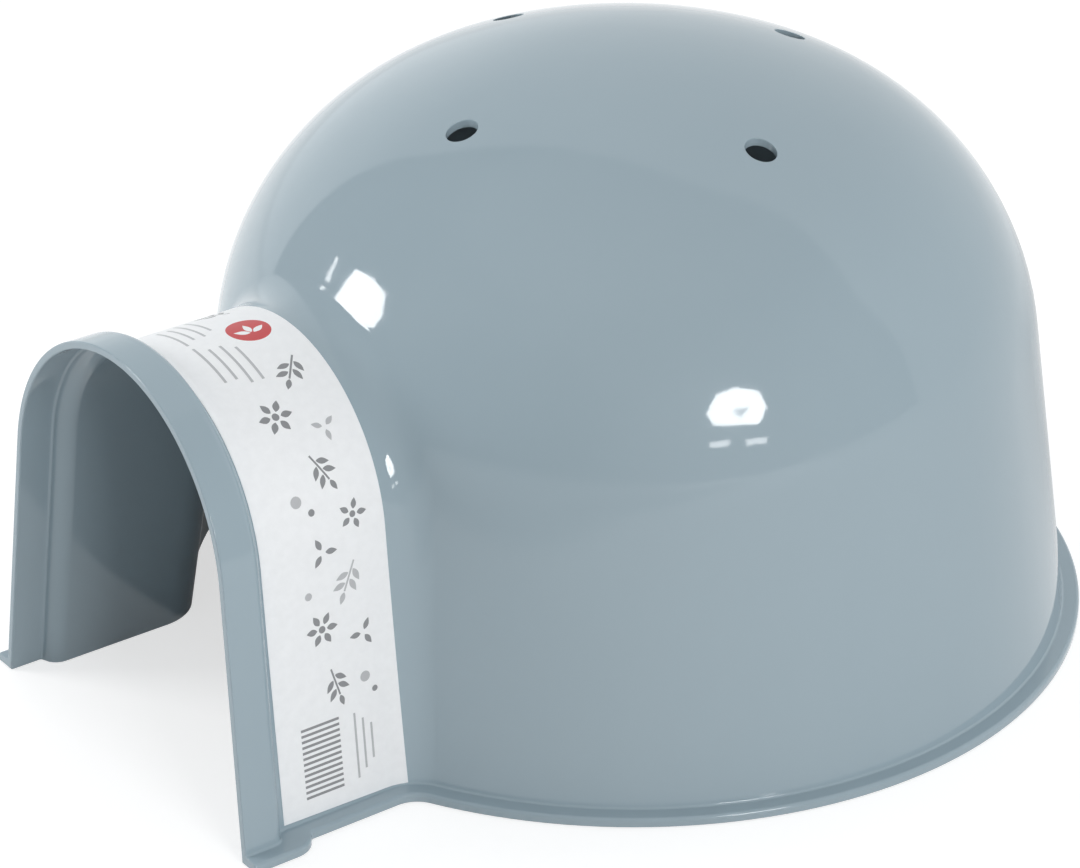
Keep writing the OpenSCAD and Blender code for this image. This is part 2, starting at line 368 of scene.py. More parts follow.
COLLAR_ROWS = ([EDGE_R, 2.5, 4.5, 6.5, COLLAR_LEN]
               + [COLLAR_LEN + SHOULDER_LEN * k / SHOULDER_ROWS
                  for k in range(1, SHOULDER_ROWS + 1)])
ROWS = ([c / COLLAR_END for c in COLLAR_ROWS]
        + [1 + t for t in shares(TUNNEL_ROWS)] + [2 + t for t in shares(BLEND_ROWS)])


def heading(angle):
    """A direction in the plane."""
    return np.array([math.cos(angle), math.sin(angle)])


def mirrored(pair):
    """The same point and normal on the part's other side."""
    flip = np.array([-1.0, 1.0, 1.0])
    return pair[0] * flip, pair[1] * flip


def passage_rows(mesh, g, low, side):
    """Rows of points over the arch from the right foot to the left, from the mouth to the dome."""
    made = []
    for w in ROWS:
        foot = foot_of(w, g, low)
        ways = [foot + (LEG_LEN - foot) * k / LEG_STATIONS for k in range(LEG_STATIONS)]
        ways += [LEG_LEN + (HALF_ARCH - LEG_LEN) * k / CROWN_STATIONS
                 for k in range(CROWN_STATIONS + 1)]
        half = [skin(s, w, g) for s in ways]
        row = half + [mirrored(p) for p in half[-2::-1]]
        made.append(mesh.row([(p, side * n) for p, n in row]))
    for a, b in zip(made, made[1:]):
        mesh.strip(a, b)
    return made


def vent_centre(vent):
    return VENT_CIRCLE_R * heading(-QUARTER + 2 * math.pi * vent / VENT_COUNT)


def dome_grid(low, g):
    """Points spread over the dome above height low, unrolled round its top."""
    ways, points = dome_way(low, g), [(0.0, 0.0)]
    steps = int(ways / DOME_GRID)
    for k in range(1, steps):
        way = ways * k / steps
        n = max(6, round(2 * math.pi * dome_at(way, g)[0] / DOME_GRID))
        points += [(way * math.cos(a), way * math.sin(a))
                   for a in (2 * math.pi * (i + 0.5 * (k % 2)) / n for i in range(n))]
    return np.array(points)


def dome_surface(mesh, g, low, side, edge_row):
    """The dome's skin round the passage and the vents. Returns the foot's arc and vents' loops."""
    start = mesh.points[edge_row[0]]
    first = math.atan2(start[1], start[0])
    r, up = dome_skin(low, g)
    arc = []
    for k in range(1, ARC_STATIONS):
        a = first + (math.pi - 2 * first) * k / ARC_STATIONS
        n = np.array([*(math.cos(up) * heading(a)), math.sin(up)])
        arc.append(mesh.add([*(r * heading(a)), low], side * n))
    loops = []
    for v in range(VENT_COUNT):
        loop = []
        for k in range(VENT_STATIONS):
            x, y = (vent_centre(v)
                    + (VENT_R + VENT_EDGE) * heading(2 * math.pi * k / VENT_STATIONS))
            z, n = dome_top(x, y, g)
            loop.append(mesh.add([x, y, z], side * n))
        loops.append(loop)
    ring_ids = [edge_row[0]] + arc + edge_row[:0:-1]

    def unrolled(ids):
        flat = []
        for x, y, z in (mesh.points[i] for i in ids):
            a, way = math.atan2(y, x), dome_way(z, g)
            flat.append((way * math.cos(a), way * math.sin(a)))
        return np.array(flat)

    ring, holes = unrolled(ring_ids), [unrolled(loop) for loop in loops]
    inner = dome_grid(low, g)
    keep = inside(ring, inner) & ~near(ring, inner, RING_MARGIN)
    for hole in holes:
        keep &= ~inside(hole, inner) & ~near(hole, inner, VENT_MARGIN)
    inner = inner[keep]
    ids = ring_ids + [i for loop in loops for i in loop]
    for x, y in inner:
        r, z, up = dome_at(math.hypot(x, y), g)
        d = heading(math.atan2(y, x))
        ids.append(mesh.add([*(r * d), z], side * np.array([*(math.cos(up) * d), math.sin(up)])))
    for corners in triangles(ring, holes, inner):
        mesh.face([ids[i] for i in corners])
    return arc, loops


def rim_edge(arc_count):
    """Plan points and normals of the rim's outer edge, beside the foot's points at the right."""
    edge_x, collar_x = ARCH_W + RIM_W, ARCH_W + COLLAR_STEP
    bend_y = MOUTH_Y + COLLAR_LEN + RIM_LAG
    r, notch = BEND_R + RIM_W, RIM_NOTCH_R
    centre = np.array([collar_x - BEND_R, bend_y])
    turn = math.acos((edge_x + notch - centre[0]) / (r + notch))
    notch_centre = centre + (r + notch) * heading(turn)
    straight, bend = bend_y - MOUTH_Y - EDGE_R, r * turn
    total = straight + (bend + notch * turn)
    count = len(COLLAR_ROWS) - 1
    edge = []
    for k in range(count + 1):
        way = total * k / count
        if way <= straight:
            edge.append((np.array([collar_x + RIM_W, MOUTH_Y + EDGE_R + way]), heading(0)))
        elif way <= straight + bend:
            d = heading((way - straight) / bend * turn)
            edge.append((centre + r * d, d))
        else:
            d = heading(turn * (1 - min(1.0, (way - straight - bend) / (notch * turn))))
            edge.append((notch_centre - notch * d, d))
    last_y = edge[-1][0][1]
    for k in range(1, TUNNEL_ROWS + 1):
        y = last_y + (CORNER_Y - last_y) * k / TUNNEL_ROWS
        edge.append((np.array([edge_x, y]), heading(0)))
    for k in range(1, BLEND_ROWS + 1):
        d = -heading(math.pi - CORNER_ANGLE * k / BLEND_ROWS)
        edge.append((np.array([CORNER_X, CORNER_Y]) - (BLEND_R - RIM_W) * d, d))
    for k in range(1, arc_count + 1):
        d = heading(-CORNER_ANGLE + (QUARTER + CORNER_ANGLE) * k / arc_count)
        edge.append(((DOME_R + RIM_W) * d, d))
    return edge


def add_foot(mesh, foot_out, foot_in):
    """The foot: down the rim's fillet, over its top, round its edge and under it to the inner wall.
    Returns its rows of points, from the outer wall to the lower edge."""
    half = rim_edge(ARC_STATIONS // 2)
    edge = half + [(p * [-1, 1], n * [-1, 1]) for p, n in half[-2::-1]]
    rows = []
    for i, (p, n) in zip(foot_out, edge):
        point, normal = mesh.points[i], mesh.normals[i]
        radius = (RIM_FILLET_TOP - RIM_T) / (1 - normal[2])
        centre = point + radius * normal
        line = []
        for t in shares(FILLET_STEPS):
            way = between(-normal, DOWN, t)
            line.append((centre + radius * way, -way))
        out, rim = np.array([*n, 0.0]), np.array([*p, 0.0])
        for k in range(RIM_STEPS + 1):
            a = QUARTER * k / RIM_STEPS
            inward, drop = RIM_ROUND * (1 - math.sin(a)), RIM_ROUND * (1 - math.cos(a))
            line.append((rim - inward * out - (RIM_T - drop) * DOWN,
                         math.sin(a) * out - math.cos(a) * DOWN))
        for k in range(EDGE_STEPS + 1):
            a = QUARTER * k / EDGE_STEPS
            inward, lift = FOOT_EDGE * (1 - math.cos(a)), FOOT_EDGE * (1 - math.sin(a))
            line.append((rim - inward * out - lift * DOWN,
                         math.cos(a) * out + math.sin(a) * DOWN))
        rows.append(mesh.row(line))
    columns = [foot_out] + [list(c) for c in zip(*rows)]
    for a, b in zip(columns, columns[1:]):
        mesh.strip(a, b)
    mesh.strip(columns[-1], foot_in, own=DOWN)
    return columns


def add_mouth(mesh, row_out, row_in, columns):
    """The mouth's face, with rounded edges all round."""
    front = unit([0.0, -1.0, MOUTH_TAN])
    profile = list(range(1, len(columns)))
    ring = (row_out + [columns[k][-1] for k in profile]
            + row_in[::-1] + [columns[k][0] for k in profile[::-1]])
    corners = {row_in[0], row_in[-1]}   # there the edge also turns under the foot
    last = ring
    for k in range(1, EDGE_STEPS + 1):
        a = QUARTER / EDGE_STEPS * k
        back, ahead = EDGE_R * (1 - math.cos(a)), EDGE_R * math.sin(a)
        row = []
        for i in ring:
            normal = mesh.normals[i]
            if i in corners:
                normal = (normal + DOWN) / (1 + float(normal @ DOWN))
            point = mesh.points[i] - back * normal + ahead * front
            row.append(mesh.add(point, unit(math.cos(a) * normal + math.sin(a) * front)))
        mesh.strip(last, row, closed=True)
        last = row
    n, m = len(row_out), len(profile)
    face_out, left = last[:n], last[n:n + m]
    face_in, right = last[n + m:n + m + n][::-1], last[n + m + n:][::-1]
    mesh.strip(face_out, face_in, own=front)
    mesh.face([face_out[0]] + right + [face_in[0]], own=front)
    mesh.face([face_out[-1]] + left + [face_in[-1]], own=front)


def add_vents(mesh, vents_out, vents_in):
    """The vents' walls, with rounded edges."""
    for v, (loop_out, loop_in) in enumerate(zip(vents_out, vents_in)):
        rows = [loop_out]
        for g, side, turns in ((0.0, 1, (1, 2, 3)), (-WALL, -1, (3, 2, 1))):
            for k in turns:
                a = QUARTER / EDGE_STEPS * k
                row = []
                for j in range(VENT_STATIONS):
                    d = heading(2 * math.pi * j / VENT_STATIONS)
                    x, y = vent_centre(v) + (VENT_R + VENT_EDGE * (1 - math.sin(a))) * d
                    z, normal = dome_top(x, y, g)
                    normal = side * math.cos(a) * normal - math.sin(a) * np.array([*d, 0.0])
                    z -= side * VENT_EDGE * (1 - math.cos(a))
                    row.append(mesh.add([x, y, z], unit(normal)))
                rows.append(row)
        rows.append(loop_in)
        for a, b in zip(rows, rows[1:]):
            mesh.strip(a, b, closed=True)


def shell_mesh():
    mesh = Mesh()
    outer = passage_rows(mesh, 0.0, RIM_FILLET_TOP, 1)
    arc_out, vents_out = dome_surface(mesh, 0.0, RIM_FILLET_TOP, 1, outer[-1])
    inner = passage_rows(mesh, -WALL, 0.0, -1)
    arc_in, vents_in = dome_surface(mesh, -WALL, 0.0, -1, inner[-1])
    foot_out = [row[0] for row in outer] + arc_out + [row[-1] for row in outer[::-1]]
    foot_in = [row[0] for row in inner] + arc_in + [row[-1] for row in inner[::-1]]
    columns = add_foot(mesh, foot_out, foot_in)
    add_mouth(mesh, outer[0], inner[0], columns)
    add_vents(mesh, vents_out, vents_in)
    return mesh


# The label: a sheet over the tunnel, with its print cut into it

# Its flat layout has u from the front edge to the rear one, and q from the right foot over the
# crown, where it is 0, to the left foot.

PAPER, GREY, PALE, RED = range(4)
LABEL_GRID, BORDER_MARGIN, PRINT_MARGIN = 2.0, 0.8, 0.5   # spacing of the points on the sheet
LABEL_ROWS = 0.85, 2.7   # rows of the skin between which the sheet lies
PLACE_STEPS = 21         # halvings that find a point of the sheet
FOOT_STATIONS = 10       # along each foot of the sheet


def label_place(u, s, g):
    """Point and normal on the label at distance u behind its front edge and s along the arch."""
    def behind(w):
        point = skin(s, w, g)[0]
        return point[1] - point[2] * LABEL_TAN

    return skin(s, solve(behind, LABEL_Y + u, *LABEL_ROWS, PLACE_STEPS), g)


def blade(u, q, angle, length, width, steps=9):
    """A pointed leaf that grows from (u, q), fullest before its middle."""
    d, n, foot = heading(angle), heading(angle + QUARTER), np.array([u, q])
    side = [(k / steps, math.sin(math.pi * (k / steps) ** 0.85) * width / 2)
            for k in range(steps + 1)]
    return ([tuple(foot + t * length * d + h * n) for t, h in side]
            + [tuple(foot + t * length * d - h * n) for t, h in side[-2:0:-1]])


def disc(u, q, r, steps=18):
    """A circle round (u, q)."""
    return [(u + r * math.cos(2 * math.pi * k / steps), q + r * math.sin(2 * math.pi * k / steps))
            for k in range(steps)]


def bar(u, q, angle, length, width):
    """A rectangle round (u, q)."""
    d, n, c = heading(angle), heading(angle + QUARTER), np.array([u, q])
    return [tuple(c + a * length / 2 * d + b * width / 2 * n)
            for a, b in ((-1, -1), (1, -1), (1, 1), (-1, 1))]


def finer(shape, step=1.2):
    """The same outline with its long edges divided, so that it bends with the sheet."""
    ring = []
    for a, b in zip(shape, shape[1:] + shape[:1]):
        n = max(1, math.ceil(math.dist(a, b) / step))
        ring += [(a[0] + (b[0] - a[0]) * k / n, a[1] + (b[1] - a[1]) * k / n) for k in range(n)]
    return ring


def dot(u, q, r, ink):
    """A motif of one disc. Like all motifs, a list of outlines with their inks."""
    return [(disc(u, q, r), ink)]


def sprig(u, q, angle, size, ink):
    """A stalk with four side leaves and one at its tip, drawn in shares of its size."""
    foot, d, n = np.array([u, q]), heading(angle), heading(angle + QUARTER)
    shapes = [(bar(*(foot + 0.42 * size * d), angle, 0.84 * size, 0.055 * size), ink)]
    for along, side in ((0.22, 1), (0.34, -1), (0.5, 1), (0.62, -1)):
        fork = foot + along * size * d + side * 0.05 * size * n
        shapes.append((blade(*fork, angle + side * 0.85, 0.4 * size, 0.17 * size), ink))
    tip = foot + 0.86 * size * d
    return shapes + [(blade(*tip, angle, 0.34 * size, 0.16 * size), ink)]


def flower(u, q, size, ink, petals=6):
    """Petals round a disc, drawn in shares of its size."""
    shapes = dot(u, q, 0.11 * size, ink)
    for k in range(petals):
        a = 2 * math.pi * k / petals
        foot = np.array([u, q]) + 0.16 * size * heading(a)
        shapes.append((blade(*foot, a, 0.36 * size, 0.2 * size), ink))
    return shapes


def seeds(u, q, angle, size, ink):
    """Three seeds round (u, q)."""
    shapes = []
    for k in range(3):
        a = angle + 2 * math.pi * k / 3
        foot = np.array([u, q]) + 0.1 * size * heading(a)
        shapes.append((blade(*foot, a, 0.42 * size, 0.2 * size), ink))
    return shapes


# Motif, place (u, q), its angle if it has one, its size and its ink
MOTIFS = (
    (sprig, 29.0, -14.0, -2.2, 9.5, GREY),
    (flower, 15.5, -29.0, 9.0, GREY),
    (seeds, 26.5, -35.0, 0.6, 7.0, PALE),
    (sprig, 19.5, -40.5, -1.1, 9.0, GREY),
    (dot, 12.5, -50.0, 1.5, PALE),
    (dot, 16.0, -53.5, 0.9, GREY),
    (flower, 27.0, -57.0, 7.6, GREY, 5),
    (seeds, 17.5, -64.0, 2.0, 8.0, GREY),
    (sprig, 26.0, -68.5, -2.0, 9.5, PALE),
    (dot, 12.5, -74.0, 1.0, PALE),
    (flower, 15.5, -83.5, 8.6, GREY),
    (seeds, 27.0, -88.0, 1.1, 7.6, GREY),
    (sprig, 17.0, -94.5, -1.3, 9.0, GREY),
    (dot, 26.5, -99.5, 1.4, PALE),
    (dot, 29.0, -103.5, 0.8, GREY),
)
MARK_U, MARK_R = 25.5, 5.6   # the round mark at the crown


def print_half():
    """The print on the label's right half: rules, motifs, and a block of bars with its rules."""
    shapes = [(bar(9.0 + 3.1 * k, -8.5 - 1.1 * k, QUARTER, 15.0 - 2.2 * (k % 2), 0.75), PALE)
              for k in range(4)]
    for motif, *values in MOTIFS:
        shapes += motif(*values)
    shapes += [(bar(12.5, -107.8 - 1.5 * k, 0, 11.0, 0.7), GREY) for k in range(13)]
    shapes += [(bar(22.5 + 2.3 * k, -116.8, QUARTER, 17.5 - 4.0 * k, 0.6), PALE)
               for k in range(3)]
    return shapes


def full_print():
    """Both halves of the print, and the round mark with three leaves at the crown."""
    half = print_half()
    shapes = half + [([(u, -q) for u, q in shape], ink) for shape, ink in half]
    shapes.append((disc(MARK_U, 0.0, MARK_R, 40), RED))
    for a in (0.5, QUARTER, math.pi - 0.5):
        shapes.append((blade(MARK_U + 0.5 * math.cos(a), -2.0 + 0.5 * math.sin(a), a, 4.2, 1.8),
                       PAPER))
    return [(finer(shape), ink) for shape, ink in shapes]


def bulge(u):
    """How far the feet's straight sides bulge while the sheet is divided, against slivers."""
    return 1 + 0.02 * math.sin(math.pi * u / LABEL_W)


def within(low, high, points):
    """Which of the points lie inside a box."""
    return np.all((points > low) & (points < high), axis=1)


def label_mesh():
    mesh = Mesh()
    table = np.linspace(0, LABEL_W, FOOT_STATIONS)
    feet = [solve(lambda s: label_place(u, s, LABEL_T)[0][2] + u * LABEL_TAN,
                  LABEL_FOOT, 0.0, 8.0) for u in table]

    def end_of(u):
        return HALF_ARCH - float(np.interp(u, table, feet))

    def place(u, q, g):
        pair = label_place(u, HALF_ARCH - abs(q), g)
        return mirrored(pair) if q > 0 else pair

    # The border, and points spread inside it that keep away from it and from the print
    end, rear_end = end_of(0), end_of(LABEL_W)
    wide, long = round(LABEL_W / LABEL_GRID), round(2 * end / LABEL_GRID)
    front = [(0.0, -end + 2 * end * k / long) for k in range(long)]
    left = [(LABEL_W * k / wide, end_of(LABEL_W * k / wide)) for k in range(wide)]
    rear = [(LABEL_W, rear_end - 2 * rear_end * k / long) for k in range(long)]
    right = [(u, -q) for u, q in [(LABEL_W, rear_end)] + left[:0:-1]]
    border = front + left + rear + right
    artwork = full_print()
    inner = np.array([(LABEL_W * i / wide, -end + 2 * end * (j + 0.5 * (i % 2)) / long)
                      for i in range(1, wide) for j in range(long)])
    keep = inside(np.array(border), inner) & ~near(np.array(border), inner, BORDER_MARGIN)
    for shape, _ in artwork:
        box = within(np.min(shape, axis=0) - 1, np.max(shape, axis=0) + 1, inner)
        spots = np.nonzero(box & keep)[0]
        keep[spots[near(np.array(shape), inner[spots], PRINT_MARGIN)]] = False

    # The sheet is divided along its border and its print, and each triangle gets its ink
    loops = [border] + [shape for shape, _ in artwork]
    points = [p for loop in loops for p in loop] + [tuple(p) for p in inner[keep]]
    verts, faces, origin = divided([[(u, q * bulge(u)) for u, q in loop] for loop in loops],
                                   [(u, q * bulge(u)) for u, q in inner[keep]], LOOPS_ONLY, 1e-5)
    flat = np.array([points[o[0]] if o else (v[0], v[1] / bulge(v[0]))
                     for v, o in zip(verts, origin)])
    centres = middles(flat, faces)
    slots = np.full(len(centres), PAPER)
    for shape, ink in artwork:
        ring = np.array(shape)
        spots = np.nonzero(within(ring.min(axis=0), ring.max(axis=0), centres))[0]
        slots[spots[inside(ring, centres[spots])]] = ink
    above = mesh.row(place(u, q, LABEL_T) for u, q in flat)
    below = mesh.row((point, -normal) for point, normal in (place(u, q, 0.0) for u, q in flat))
    for corners, ink in zip(faces, slots):
        mesh.face([above[i] for i in corners], slot=int(ink))
        mesh.face([below[i] for i in corners])

    # Its edge, side by side
    for a, b, way in ((front[0], left[0], (0, -1, 0)), (left[0], rear[0], (0, 0, -1)),
                      (rear[0], right[0], (0, 1, 0)), (right[0], front[0], (0, 0, -1))):
        first, last = border.index(a), border.index(b)
        run = border[first:last + 1] if last > first else border[first:] + [border[0]]
        pairs = [(place(*p, LABEL_T), place(*p, 0.0)) for p in run]
        mesh.strip(mesh.row((top, way) for (top, _), _ in pairs),
                   mesh.row((base, way) for _, (base, _) in pairs))
    return mesh


# Materials

class Nodes:
    """Short names for building the nodes of a material or of the world."""

    def __init__(self, owner, shader="Principled BSDF", coordinates="Object"):
        owner.use_nodes = True
        self.tree = owner.node_tree
        self.shader = self.tree.nodes[shader]
        self.place = self.new("ShaderNodeTexCoord").outputs[coordinates]

    def new(self, kind, **values):
        node = self.tree.nodes.new(kind)
        for name, value in values.items():
            setattr(node, name, value)
        return node

    def set(self, socket, value):
        """A link to the socket, or its constant."""
        if isinstance(value, bpy.types.NodeSocket):
            self.tree.links.new(value, socket)
        else:
            socket.default_value = value

    def noise(self, scale, detail, rough=0.5, place=None):
        node = self.new("ShaderNodeTexNoise")
        self.set(node.inputs["Vector"], place or self.place)
        node.inputs["Scale"].default_value = scale
        node.inputs["Detail"].default_value = detail
        node.inputs["Roughness"].default_value = rough
        return node.outputs["Fac"]

    def remap(self, value, low, high, start, end, interpolation="LINEAR"):
        node = self.new("ShaderNodeMapRange", interpolation_type=interpolation)
        names = ("Value", "From Min", "From Max", "To Min", "To Max")
        for name, v in zip(names, (value, low, high, start, end)):
            self.set(node.inputs[name], v)
        return node.outputs["Result"]

    def math(self, operation, *values):
        node = self.new("ShaderNodeMath", operation=operation)
        for socket, value in zip(node.inputs, values):
            self.set(socket, value)
        return node.outputs[0]

    def fade(self, operation, vector, low, high, start, end):
        node = self.new("ShaderNodeVectorMath", operation=operation)
        self.set(node.inputs[0], self.place)
        node.inputs[1].default_value = tuple(vector)
        return self.remap(node.outputs["Value"], low, high, start, end, "SMOOTHSTEP")

    def toward(self, *values):
        """A fade over the way in a direction: direction, low, high, start, end."""
        return self.fade("DOT_PRODUCT", *values)

    def away(self, *values):
        """A fade over the distance from a point: point, low, high, start, end."""
        return self.fade("DISTANCE", *values)

    def mix(self, fac, a, b):
        """A mix of two colours."""
        node = self.new("ShaderNodeMix", data_type="RGBA", blend_type="MIX")
        self.set(node.inputs["Factor"], fac)
        self.set(node.inputs[6], a)
        self.set(node.inputs[7], b)
        return node.outputs[2]

    def mix_value(self, fac, a, b):
        node = self.new("ShaderNodeMix", data_type="FLOAT")
        for socket, value in zip(node.inputs[:1] + node.inputs[2:4], (fac, a, b)):
            self.set(socket, value)
        return node.outputs[0]

    def bump(self, height, strength, distance, normal=None):
        node = self.new("ShaderNodeBump")
        node.inputs["Strength"].default_value = strength
        node.inputs["Distance"].default_value = distance
        self.set(node.inputs["Height"], height)
        if normal:
            self.set(node.inputs["Normal"], normal)
        return node.outputs["Normal"]

    def stretch(self, x, y, z):
        node = self.new("ShaderNodeMapping")
        self.set(node.inputs["Vector"], self.place)
        node.inputs["Scale"].default_value = (x, y, z)
        return node.outputs["Vector"]


PLASTIC = (0.335, 0.42, 0.47, 1)
PLASTIC_DARK = (0.32, 0.405, 0.455, 1)
PLASTIC_LIGHT = (0.36, 0.445, 0.49, 1)
PLASTIC_IOR = 1.5
PLASTIC_ROUGHNESS = 0.045, 0.11   # from polished to worn
STREAK_SHARE = 0.35               # of the light colour in the flow streaks
FIBRE_SHADE, PAPER_SPREAD = 0.965, 0.06   # darker fibres, and the roughness's range either way

# Scale, detail and roughness of each noise
CLOUD, STREAK, WEAR, SINK, PEEL = (9, 3), (14, 5, 0.6), (160, 6, 0.7), (16, 2), (700, 2)
FIBRE, GLAZE, RIPPLE, TOOTH = (420, 6, 0.65), (90, 4), (22, 1), (1500, 4, 0.7)
# Strength and height of each relief
SINK_RELIEF, PEEL_RELIEF = (0.35, 1.2 * MM), (0.12, 0.04 * MM)
RIPPLE_RELIEF, TOOTH_RELIEF = (0.12, 0.5 * MM), (0.2, 0.03 * MM)

# Name, colour and roughness of the paper and of its inks, in the order of the mesh's slots
PAPERS = (
    ("label_paper", (0.925, 0.932, 0.942, 1), 0.42),
    ("label_ink_grey", (0.27, 0.275, 0.285, 1), 0.4),
    ("label_ink_pale", (0.5, 0.505, 0.52, 1), 0.4),
    ("label_ink_red", (0.6, 0.055, 0.06, 1), 0.38),
)


def plastic_material():
    """Glossy moulded plastic, with slight sink waves, flow streaks, fine wear and a faint peel."""
    material = bpy.data.materials.new("shell_plastic")
    n = Nodes(material)
    tone = n.mix(n.remap(n.noise(*CLOUD), 0.3, 0.7, 0, 1), PLASTIC_DARK, PLASTIC)
    flow = n.remap(n.noise(*STREAK, n.stretch(1, 1, 0.25)), 0.35, 0.75, 0, STREAK_SHARE)
    tone = n.mix(flow, tone, PLASTIC_LIGHT)
    n.set(n.shader.inputs["Base Color"], tone)
    n.set(n.shader.inputs["Roughness"], n.remap(n.noise(*WEAR), 0.45, 0.8, *PLASTIC_ROUGHNESS))
    n.shader.inputs["IOR"].default_value = PLASTIC_IOR
    wave = n.bump(n.noise(*SINK), *SINK_RELIEF)
    n.set(n.shader.inputs["Normal"], n.bump(n.noise(*PEEL), *PEEL_RELIEF, wave))
    return material


def paper_material(name, colour, rough):
    """Coated paper, or ink on it, with a faint fibre relief."""
    material = bpy.data.materials.new(name)
    n = Nodes(material)
    shade = tuple(FIBRE_SHADE * c for c in colour[:3]) + (1,)
    fibre = n.remap(n.noise(*FIBRE), 0.35, 0.65, 0, 1)
    n.set(n.shader.inputs["Base Color"], n.mix(fibre, shade, colour))
    n.set(n.shader.inputs["Roughness"],
          n.remap(n.noise(*GLAZE), 0.3, 0.7, rough - PAPER_SPREAD, rough + PAPER_SPREAD))
    wave = n.bump(n.noise(*RIPPLE), *RIPPLE_RELIEF)
    n.set(n.shader.inputs["Normal"], n.bump(n.noise(*TOOTH), *TOOTH_RELIEF, wave))
    return material


# Camera

CAMERA_AZ, CAMERA_EL, CAMERA_ROLL = 53.403, 28.168, math.radians(0.236)
CAMERA_TARGET, CAMERA_WAY, CAMERA_LENS = (-0.013395, -0.000390, 0.043287), 1.0899, 137.215
SENSOR_W, PHOTO_W, PHOTO_H = 36, 1080, 868   # millimetres, and the photograph's pixels


def direction(azimuth, elevation):
    """A direction from the part in degrees, with the azimuth from -Y toward +X."""
    a, e = math.radians(azimuth), math.radians(elevation)
    return Vector((math.sin(a) * math.cos(e), -math.cos(a) * math.cos(e), math.sin(e)))


def camera_frame():
    """The camera's place, and its directions to the right, up and back."""
    back, level = direction(CAMERA_AZ, CAMERA_EL), direction(CAMERA_AZ + 90, 0)
    above = back.cross(level)
    right = math.cos(CAMERA_ROLL) * level + math.sin(CAMERA_ROLL) * above
    up = math.cos(CAMERA_ROLL) * above - math.sin(CAMERA_ROLL) * level
    return Vector(CAMERA_TARGET) + CAMERA_WAY * back, right, up, back


def photo_camera():
    """The camera at the photograph's place."""
    place, *axes = camera_frame()
    data = bpy.data.cameras.new("camera")
    data.sensor_width, data.lens = SENSOR_W, CAMERA_LENS
    data.clip_start, data.clip_end = 0.05, 60
    camera = placed("camera", data)
    camera.matrix_world = Matrix.Translation(place) @ Matrix(axes).transposed().to_4x4()
    bpy.context.scene.camera = camera


def mirrored_way(x, y):
    """The direction that the dome's wall mirrors where the photograph has the pixel (x, y)."""
    place, right, up, back = camera_frame()
    pixel = SENSOR_W / PHOTO_W / CAMERA_LENS
    way = (pixel * (x - PHOTO_W / 2) * right - pixel * (y - PHOTO_H / 2) * up - back).normalized()
    eye = place / MM - Vector((0, AXIS_Y, 0))

    def depth(distance):
        point = eye + distance * way
        return dome_skin(point.z, 0)[0] - math.hypot(point.x, point.y)

    middle = (Vector((0, 0, SKIRT_H)) - eye).dot(way)
    point = eye + solve(depth, 0, middle - DOME_R, middle) * way
    r, a = dome_skin(point.z, 0)
    normal = Vector((point.x / r * math.cos(a), point.y / r * math.cos(a), math.sin(a)))
    return way - 2 * way.dot(normal) * normal


# Floor and light

WHITE, COOL_WHITE, BLACK = (1, 1, 1, 1), (0.96, 0.985, 1, 1), (0.02, 0.02, 0.02, 1)

# The mirrored studio. The room round the part is dim, with a darker spot in front. A bright
# backdrop stands behind the part, and a card at its left. Each border is a direction, and the dot
# products with it between which the border fades.
ROOM_LEFT, ROOM_RIGHT, ROOM_TOP, ROOM_FRONT = 0.46, 0.53, 0.6, 0.38
RIGHT_SIDE = (direction(95, 0), 0.2, 0.95)
TOP_SIDE = (direction(0, 90), 0.55, 0.9)
FRONT_SIDE = (direction(14, 6), 0.7, 0.98)
BACKDROP_LEFT, BACKDROP_REAR, BACKDROP_LEFT_SIDE = 1.25, 0.98, (direction(-90, 0), 0.78, 0.95)
BACKDROP_BORDERS = ((direction(-150.5, -22), -0.02, 0.03),
                    (direction(-134, 0), -0.02, 0.03),
                    (direction(-160.9, -20.1), -0.02, 0.03))
CARD, CARD_SIDE, CARD_BORDER = (0.8, (direction(-62, 0), 0.72, 0.8),
                                (direction(-161.2, 66), -0.02, 0.02))

# The floor, and where glossy rays see it dimmer: past the table's front edge, under the dome, and
# in a patch behind the part at the right. The dimming under the dome is painted shade, in place of
# the shade inside the part. Each border is a direction or a point, and the ways along it or from
# it, in metres, between which the border fades.
FLOOR_SIZE, FLOOR_Z = 6, -0.0002
FLOOR_BOUNCE, FLOOR_SEEN, FLOOR_GLOW = (0.64, 0.64, 0.64, 1), (0.5, 0.5, 0.5, 1), 0.66
DOME_AXIS = (0, AXIS_Y * MM, 0)
FLOOR_BEYOND, TABLE_BORDER = 0.85, (direction(18.5, 0), 0.355, 0.375)
# Painted shade: how much dimmer mirror images see the floor under the dome
PAINTED_SHADE_UNDER_DOME, UNDER_BORDER = 0.85, (DOME_AXIS, 0.117, 0.12)
FLOOR_PATCH, PATCH_LEFT = 0.55, (direction(-83, 0), -0.11, -0.045)
PATCH_REAR, PATCH_BORDER = (direction(135, 0), 0.0, 0.1), (DOME_AXIS, 0.25, 0.45)

# Lamps: name, azimuth, elevation, side, watts. They give the diffuse light and aren't mirrored.
LAMP_WAY, LAMP_AIM = 1.5, (0, 0, 0.08)
LAMPS = (("key", 79, 20, 0.5, 8.2), ("fill", -42, 21, 0.6, 9.7))

